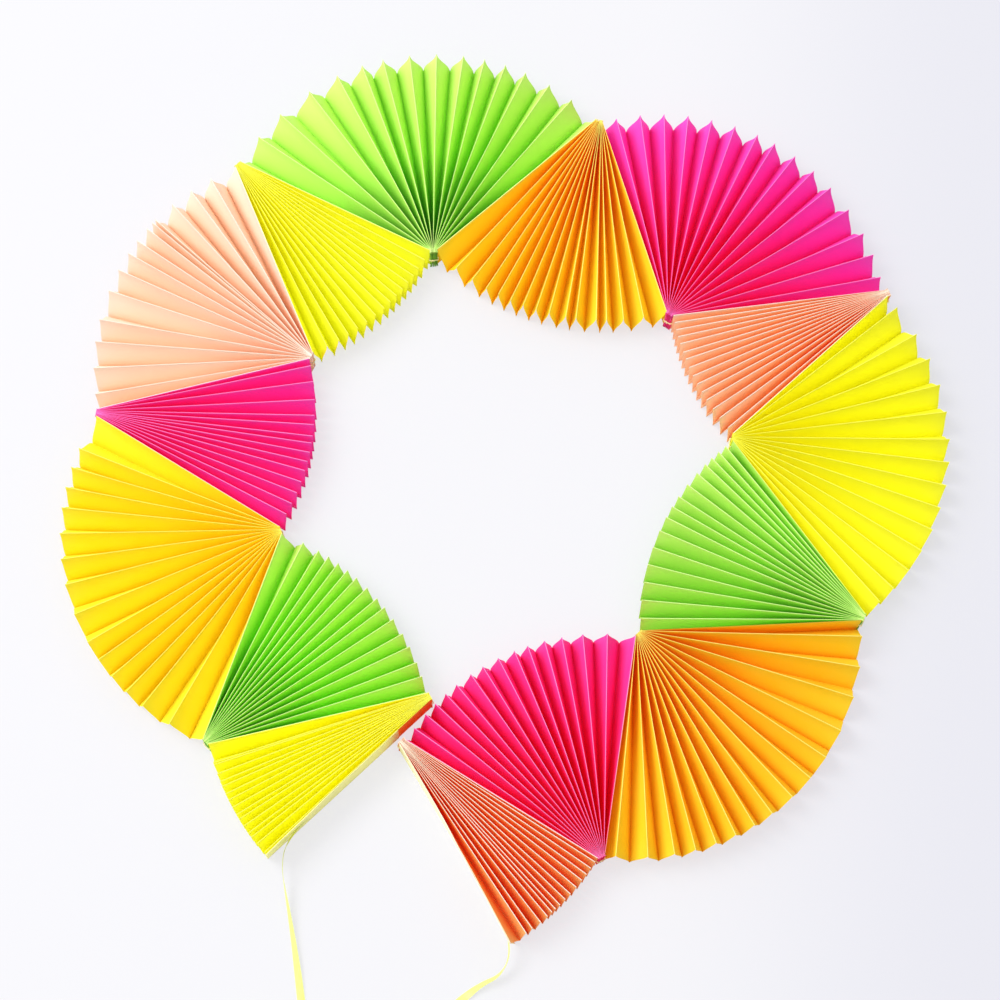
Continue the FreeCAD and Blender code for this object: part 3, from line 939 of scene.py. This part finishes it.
# Colour and pale colour, roughness, grain scale, grain depth in metres, and the share of light let through.
card_finishes = (
    plain_finish("card_yellow", (0.98, 0.95, 0.34), (0.99, 0.97, 0.46), 0.6, 700.0, 0.00005, 0.08),
    plain_finish("card_cream", (0.97, 0.94, 0.58), (0.98, 0.97, 0.70), 0.6, 700.0, 0.00005, 0.08),
)
ribbon_finish = plain_finish("ribbon", (0.85, 0.90, 0.22), (0.92, 0.95, 0.38), 0.4, 500.0, 0.00003, 0.3,
                             (6.0, 0.3, 1.0))
thread_finish = plain_finish("thread", (0.90, 0.82, 0.42), (0.97, 0.92, 0.62), 0.7, 2500.0, 0.00006, 0.1)
for piece, card_finish in zip(cards, card_finishes):
    piece.data.materials.append(card_finish)
for piece in ribbons:
    piece.data.materials.append(ribbon_finish)
for piece in ties:
    piece.data.materials.append(thread_finish)
print("finishes", [material.name for material in bpy.data.materials if material.users])

# %% [markdown]
# ## The table
# The banner lies on a matt white table. More light would make the table white, but it would bleach the papers too.
# So most of the white that the camera sees is the table's own colour, mixed in for camera rays alone, and a painted
# fall-off of light makes it a little darker far from the window. The rest is plain matt paint, which keeps the
# banner's shadow.

# %% Table
table_reach = 4.0
table_paint = (0.86, 0.86, 0.89, 1)
white_near_window = (0.875, 0.870, 0.905, 1)
white_in_painted_falloff = (0.765, 0.762, 0.835, 1)
white_share = 0.78
floor_mesh = bpy.data.meshes.new("table_top")
corners = [(x * table_reach, y * table_reach, 0) for x, y in ((-1, -1), (1, -1), (1, 1), (-1, 1))]
floor_mesh.from_pydata(corners, [], [(0, 1, 2, 3)])
floor = bpy.data.objects.new("table_top", floor_mesh)
bpy.context.scene.collection.objects.link(floor)
material, tree, output, add = new_finish("table_white")
grain = add("TexNoise", Vector=add("TexCoord").outputs["Object"], Scale=220.0, Detail=3.0)
bump = add("Bump", Height=grain.outputs["Fac"], Strength=0.03, Distance=0.0002)
shader = add("BsdfPrincipled", Roughness=0.6, Normal=bump.outputs[0])
shader.inputs["Base Color"].default_value = table_paint
shader.inputs["Specular IOR Level"].default_value = 0.2
# A painted fall-off of light: the white that the camera sees goes a little darker away from the window, to the right.
across_table = add("SeparateXYZ", Vector=add("TexCoord").outputs["Object"]).outputs["X"]
painted_falloff = span(add, across_table, 0.1, 0.44)
painted_falloff.interpolation_type = "SMOOTHSTEP"
white = mix_colour(tree, add, painted_falloff.outputs[0], white_near_window, white_in_painted_falloff)
bright = add("Emission", Color=white, Strength=1.0)
seen = product(tree, add, add("LightPath").outputs["Is Camera Ray"], white_share)
both = add("MixShader", Fac=seen)
tree.links.new(shader.outputs[0], both.inputs[1])
tree.links.new(bright.outputs[0], both.inputs[2])
tree.links.new(both.outputs[0], output.inputs["Surface"])
floor_mesh.materials.append(material)
print("table", round(2 * table_reach, 1), "m wide")

# %% [markdown]
# ## The light
# The light is plain and soft: a pale sky all round, and one wide lamp from the far left, which gives the pleats
# their lit and shaded sides. Many small lamps would do too, but each would draw its own shadow between the pleats.
# Light goes back and forth many times in a narrow fold. After six bounces Cycles fills in the rest from the sky,
# except where something is closer than the fill's reach, so the tightest folds stay dark.

# %% Sky
# The sky's strength away from the window and towards it, and the strength that the camera sees.
window_direction = Vector((-0.55, 0.35, 0.76)).normalized()
sky_away, sky_window, sky_seen = 0.42, 1.1, 0.87
world = bpy.data.worlds.new("sky")
world.use_nodes = True
sky_nodes = world.node_tree.nodes
sky_links = world.node_tree.links
sky_nodes["Background"].inputs["Color"].default_value = (0.98, 0.99, 1.0, 1)
towards = sky_nodes.new("ShaderNodeVectorMath")
towards.operation = "DOT_PRODUCT"
towards.inputs[1].default_value = window_direction
sky_links.new(sky_nodes.new("ShaderNodeTexCoord").outputs["Generated"], towards.inputs[0])
window = sky_nodes.new("ShaderNodeMapRange")
window.inputs["From Min"].default_value = -0.4
window.inputs["From Max"].default_value = 1.0
window.inputs["To Min"].default_value = sky_away
window.inputs["To Max"].default_value = sky_window
sky_links.new(towards.outputs["Value"], window.inputs["Value"])
seen_sky = sky_nodes.new("ShaderNodeMix")
seen_sky.inputs["B"].default_value = sky_seen
sky_links.new(sky_nodes.new("ShaderNodeLightPath").outputs["Is Camera Ray"], seen_sky.inputs["Factor"])
sky_links.new(window.outputs["Result"], seen_sky.inputs["A"])
sky_links.new(seen_sky.outputs["Result"], sky_nodes["Background"].inputs["Strength"])
bpy.context.scene.world = world
print("sky from", sky_away, "to", sky_window)


# %% Lamp
def soft_lamp(name, place, size, power, colour):
    """A square lamp that looks at the middle of the table."""
    data = bpy.data.lights.new(name, "AREA")
    data.shape = "SQUARE"
    data.size = size
    data.energy = power
    data.color = colour
    lamp = bpy.data.objects.new(name, data)
    lamp.location = place
    lamp.rotation_euler = (-Vector(place)).to_track_quat("-Z", "Y").to_euler()
    bpy.context.scene.collection.objects.link(lamp)
    return lamp


soft_lamp("key", (-2.3, 0.7, 3.1), 2.0, 116, (1.0, 0.995, 0.98))

# %% Bounces of light in the folds
bounces, fill_after = 12, 6
fill_factor, fill_reach = 1.9, 0.6 * mm
bpy.context.scene.view_settings.view_transform = "Standard"
cycles = bpy.context.scene.cycles
cycles.max_bounces = bounces
cycles.diffuse_bounces = bounces
cycles.transmission_bounces = bounces
cycles.use_fast_gi = True
cycles.fast_gi_method = "REPLACE"
cycles.ao_bounces = fill_after
cycles.ao_bounces_render = fill_after
world.light_settings.ao_factor = fill_factor
world.light_settings.distance = fill_reach
print("bounces", bounces, "with the fill after", fill_after)
